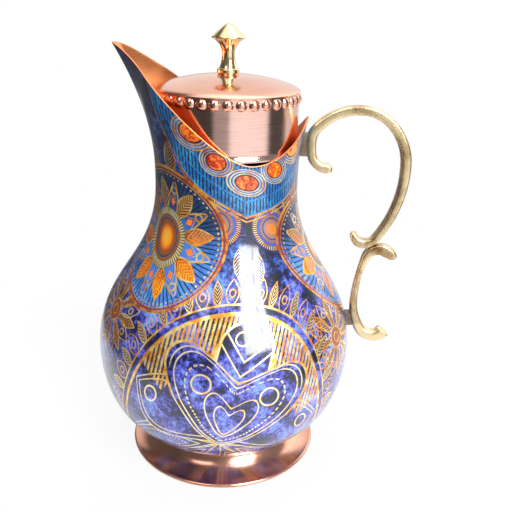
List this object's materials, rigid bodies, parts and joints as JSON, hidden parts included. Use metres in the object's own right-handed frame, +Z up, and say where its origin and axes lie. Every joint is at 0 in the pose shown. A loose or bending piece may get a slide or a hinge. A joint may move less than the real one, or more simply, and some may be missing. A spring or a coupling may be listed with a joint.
{
  "type": "dallah coffee pot",
  "caption": "Tall copper coffee jug with a round belly, narrow neck, open beak spout, S-scroll handle and a beaded lift-off lid with a turned knob.",
  "frame": {"origin": "on the jug's axis, in the plane of the foot ring's lower edge", "axes": "+Z up along the jug's axis; the spout points to -X, the handle to +X, and -Y is the side that faces the viewer"},
  "size_m": [0.197, 0.1668, 0.28],
  "materials": {
    "printed_enamel": "glossy clear lacquer over a blue, orange and gold print on copper",
    "copper": null,
    "cast_brass": "cast brass, worn satin polish",
    "polished_brass": "turned and polished brass"
  },
  "bodies": {
    "pot": {"belly_bowl": "printed_enamel", "neck_and_spout": "printed_enamel", "foot_ring": "copper", "handle_upper_scroll": "cast_brass", "handle_lower_scroll": "cast_brass", "upper_saddle": "cast_brass", "lower_saddle": "cast_brass", "upper_rivet": "copper", "lower_rivet": "copper", "lower_rivet_washer": "copper"},
    "lid": {"lid_drum": "copper", "lid_dome": "copper", "lid_beads": "copper", "finial_collar": "polished_brass", "finial_knob": "polished_brass", "finial_stud": "polished_brass", "finial_washer": "polished_brass", "finial_nut": "polished_brass"}
  },
  "joints": [
    {"name": "lid_lift", "type": "slide", "parent": "pot", "child": "lid", "axis": [0, 0, 1], "range_m": [0, 0.1]}
  ]
}
